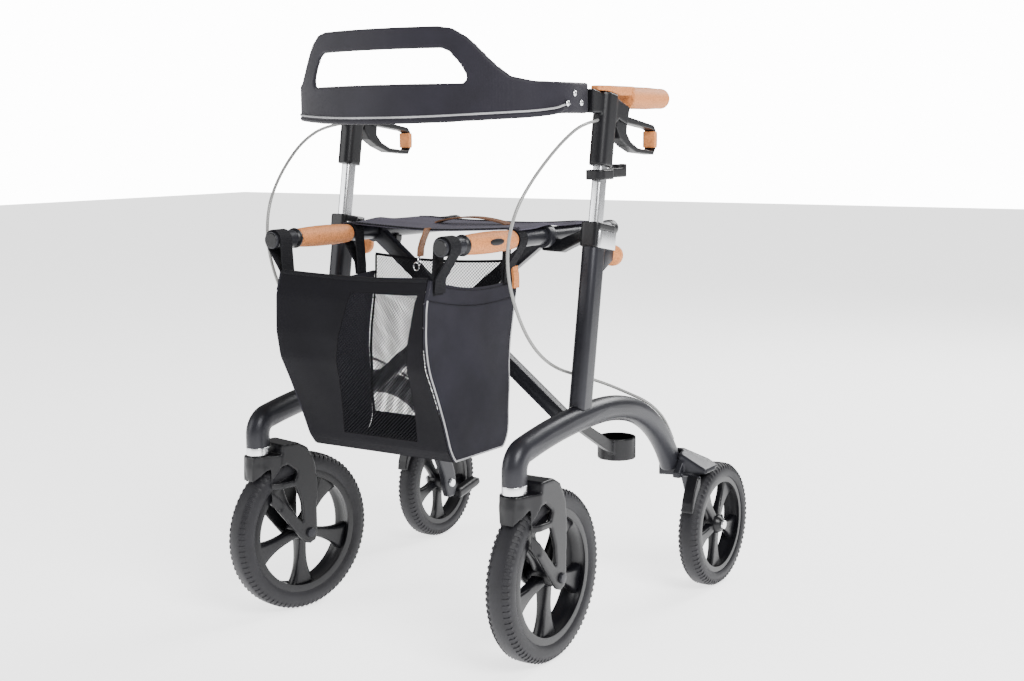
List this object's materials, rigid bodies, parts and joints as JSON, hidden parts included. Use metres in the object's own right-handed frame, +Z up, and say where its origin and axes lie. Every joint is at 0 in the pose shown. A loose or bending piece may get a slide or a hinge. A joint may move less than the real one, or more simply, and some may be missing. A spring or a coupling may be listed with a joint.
{
  "type": "rollator",
  "caption": "Folding rollator walker with caster front wheels, braked rear wheels, cork grips, height-adjustable handles, sling seat, shopping bag, curved backrest and cane holder.",
  "frame": {"origin": "on the floor below the centre of the overall box", "axes": "+Z up, +Y towards the user (rear wheels), +X towards the user's right hand"},
  "size_m": [0.6086, 0.689, 0.888],
  "materials": {
    "painted_frame": "matte",
    "bright_metal": "satin",
    "black_plastic": "matte",
    "cork": "matte",
    "bag_cloth": "matte",
    "sling_cloth": "matte",
    "foam_cover": "matte",
    "cable_sleeve": "satin",
    "soft_tyre": "matte"
  },
  "bodies": {
    "left_frame": {"left_arch": "painted_frame", "left_post": "painted_frame", "left_collar": "bright_metal", "left_cradle": "black_plastic", "left_stem_ring": "bright_metal", "left_rear_bracket": "painted_frame", "left_tip_pedal": "black_plastic", "left_rear_axle": "bright_metal", "left_brake_cable": "cable_sleeve"},
    "right_frame": {"right_arch": "painted_frame", "right_post": "painted_frame", "right_collar": "bright_metal", "right_cradle": "black_plastic", "right_stem_ring": "bright_metal", "right_rear_bracket": "painted_frame", "right_tip_pedal": "black_plastic", "right_rear_axle": "bright_metal", "right_brake_cable": "cable_sleeve", "cane_cup": "black_plastic"},
    "right_bar": {"right_brace": "painted_frame", "right_seat_rail": "painted_frame", "right_carry_grip": "cork", "brace_pin": "bright_metal"},
    "left_bar": {"left_brace": "painted_frame", "left_seat_rail": "painted_frame", "left_carry_grip": "cork"},
    "left_bag": {"left_bag_side": "bag_cloth", "bag_shell": "bag_cloth", "seat_fabric": "sling_cloth"},
    "right_bag": {"right_bag_side": "bag_cloth"},
    "left_handle": {"left_height_tube": "bright_metal", "left_housing": "black_plastic", "left_grip": "cork", "backrest_panel": "foam_cover"},
    "left_lever": {"left_brake_lever": "black_plastic", "left_lever_pad": "cork"},
    "left_height_knob": {"left_knob": "cork"},
    "left_shoe": {"left_brake_shoe": "black_plastic"},
    "left_caster": {"left_fork": "black_plastic", "left_caster_pin": "bright_metal", "left_front_axle": "bright_metal"},
    "left_front_wheel": {"left_front_tyre": "soft_tyre", "left_front_rim": "black_plastic"},
    "left_rear_wheel": {"left_rear_tyre": "soft_tyre", "left_rear_rim": "black_plastic"},
    "right_handle": {"right_height_tube": "bright_metal", "right_housing": "black_plastic", "right_grip": "cork", "cane_clip": "black_plastic"},
    "right_lever": {"right_brake_lever": "black_plastic", "right_lever_pad": "cork"},
    "right_height_knob": {"right_knob": "cork"},
    "right_shoe": {"right_brake_shoe": "black_plastic"},
    "right_caster": {"right_fork": "black_plastic", "right_caster_pin": "bright_metal", "right_front_axle": "bright_metal"},
    "right_front_wheel": {"right_front_tyre": "soft_tyre", "right_front_rim": "black_plastic"},
    "right_rear_wheel": {"right_rear_tyre": "soft_tyre", "right_rear_rim": "black_plastic"}
  },
  "joints": [
    {"name": "fold", "type": "hinge", "parent": "left_frame", "child": "right_bar", "pos_m": [-0.207, -0.075, 0.316], "axis": [0, -1, 0], "range_deg": [0, 34], "deforming": ["backrest_panel", "bag_shell", "seat_fabric"]},
    {"name": "scissor", "type": "hinge", "parent": "right_bar", "child": "left_bar", "pos_m": [0, -0.0835, 0.47559], "axis": [0, -1, 0], "range_deg": [-68, 0]},
    {"name": "right_fold", "type": "hinge", "parent": "left_bar", "child": "right_frame", "pos_m": [0.207, -0.092, 0.316], "axis": [0, -1, 0], "range_deg": [0, 34]},
    {"name": "left_bag_hang", "type": "hinge", "parent": "left_bar", "child": "left_bag", "pos_m": [-0.151, -0.092, 0.592], "axis": [0, -1, 0], "range_deg": [0, 34]},
    {"name": "right_bag_hang", "type": "hinge", "parent": "right_bar", "child": "right_bag", "pos_m": [0.151, -0.075, 0.592], "axis": [0, -1, 0], "range_deg": [-34, 0]},
    {"name": "left_handle_height", "type": "slide", "parent": "left_frame", "child": "left_handle", "axis": [0, 0.165, 0.9863], "range_m": [-0.05, 0.085], "deforming": ["left_brake_cable"]},
    {"name": "left_knob_turn", "type": "hinge", "parent": "left_frame", "child": "left_height_knob", "pos_m": [-0.235, -0.02574, 0.56343], "axis": [0, 0.9863, -0.165], "range_deg": [-180, 180]},
    {"name": "left_lever_pull", "type": "hinge", "parent": "left_handle", "child": "left_lever", "pos_m": [-0.235, -0.012, 0.762], "axis": [1, 0, 0], "range_deg": [0, 12], "stiffness_Nm_per_rad": 1},
    {"name": "left_brake", "type": "hinge", "parent": "left_frame", "child": "left_shoe", "pos_m": [-0.283, 0.16, 0.1965], "axis": [1, 0, 0], "range_deg": [0, 3]},
    {"name": "left_swivel", "type": "hinge", "parent": "left_frame", "child": "left_caster", "pos_m": [-0.235, -0.287, 0.264], "axis": [0, 0, 1], "continuous": true},
    {"name": "left_front_roll", "type": "hinge", "parent": "left_caster", "child": "left_front_wheel", "pos_m": [-0.22107, -0.21534, 0.125], "axis": [0.9816, -0.1908, 0], "continuous": true},
    {"name": "left_rear_roll", "type": "hinge", "parent": "left_frame", "child": "left_rear_wheel", "pos_m": [-0.283, 0.237, 0.102], "axis": [1, 0, 0], "continuous": true},
    {"name": "right_handle_height", "type": "slide", "parent": "right_frame", "child": "right_handle", "axis": [0, 0.165, 0.9863], "range_m": [-0.05, 0.085], "deforming": ["right_brake_cable"]},
    {"name": "right_knob_turn", "type": "hinge", "parent": "right_frame", "child": "right_height_knob", "pos_m": [0.235, -0.02574, 0.56343], "axis": [0, 0.9863, -0.165], "range_deg": [-180, 180]},
    {"name": "right_lever_pull", "type": "hinge", "parent": "right_handle", "child": "right_lever", "pos_m": [0.235, -0.012, 0.762], "axis": [1, 0, 0], "range_deg": [0, 12], "stiffness_Nm_per_rad": 1},
    {"name": "right_brake", "type": "hinge", "parent": "right_frame", "child": "right_shoe", "pos_m": [0.283, 0.16, 0.1965], "axis": [1, 0, 0], "range_deg": [0, 3]},
    {"name": "right_swivel", "type": "hinge", "parent": "right_frame", "child": "right_caster", "pos_m": [0.235, -0.287, 0.264], "axis": [0, 0, 1], "continuous": true},
    {"name": "right_front_roll", "type": "hinge", "parent": "right_caster", "child": "right_front_wheel", "pos_m": [0.235, -0.214, 0.125], "axis": [1, 0, 0], "continuous": true},
    {"name": "right_rear_roll", "type": "hinge", "parent": "right_frame", "child": "right_rear_wheel", "pos_m": [0.283, 0.237, 0.102], "axis": [1, 0, 0], "continuous": true}
  ],
  "couplings": [
    {"joint": "scissor", "follows": "fold", "ratio": -2},
    {"joint": "right_fold", "follows": "fold", "ratio": 1},
    {"joint": "left_bag_hang", "follows": "fold", "ratio": 1},
    {"joint": "right_bag_hang", "follows": "fold", "ratio": -1},
    {"joint": "right_handle_height", "follows": "left_handle_height", "ratio": 1},
    {"joint": "left_brake", "follows": "left_lever_pull", "ratio": 0.25},
    {"joint": "right_brake", "follows": "right_lever_pull", "ratio": 0.25}
  ]
}
